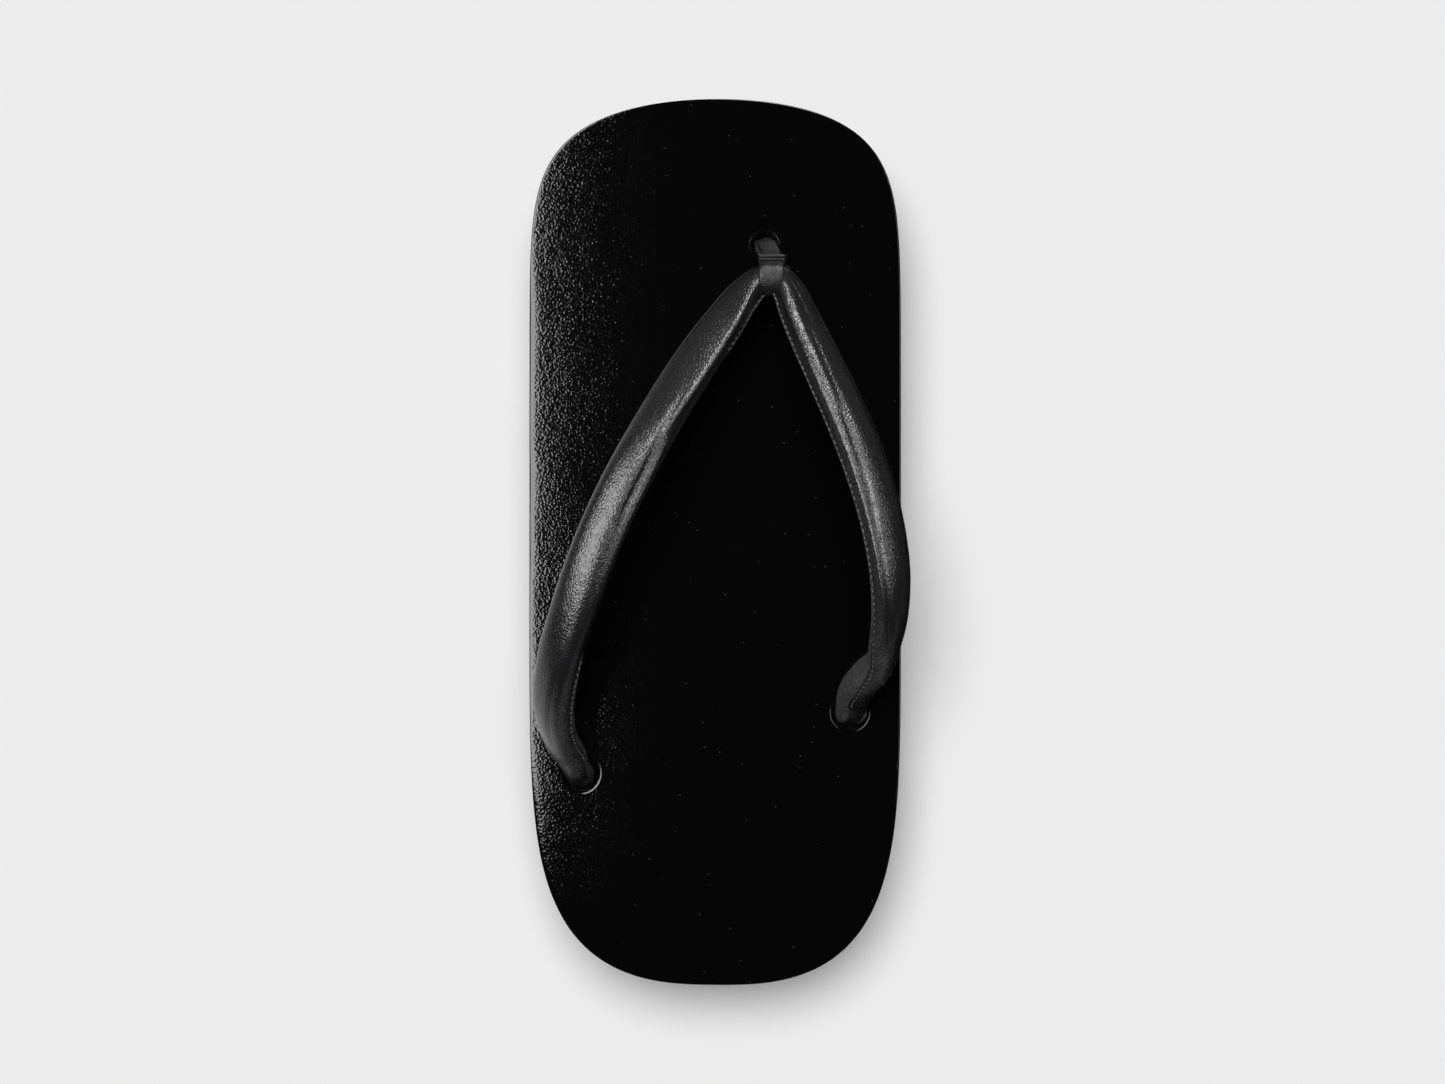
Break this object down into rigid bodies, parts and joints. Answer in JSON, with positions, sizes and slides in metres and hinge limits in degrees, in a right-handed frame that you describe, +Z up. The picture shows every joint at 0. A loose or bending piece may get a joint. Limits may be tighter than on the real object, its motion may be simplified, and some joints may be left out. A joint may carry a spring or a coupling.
{
  "type": "geta sandal",
  "caption": "Left-foot geta sandal: wooden base carved with two teeth, black glazed footbed, and a stuffed leather thong strap held by a front loop.",
  "frame": {"origin": "on the floor, under the middle of the whole part seen from above", "axes": "+Z up, +Y towards the toe, +X towards the inner side of the foot"},
  "size_m": [0.1142, 0.265, 0.0931],
  "materials": {
    "dai": "stained dark brown, satin",
    "footbed": "black, glazed",
    "straps": "black, soft sheen",
    "front_loop": "black, soft sheen"
  },
  "bodies": {
    "root": {"dai": "dai", "footbed": "footbed", "straps": "straps", "front_loop": "front_loop"}
  },
  "joints": []
}
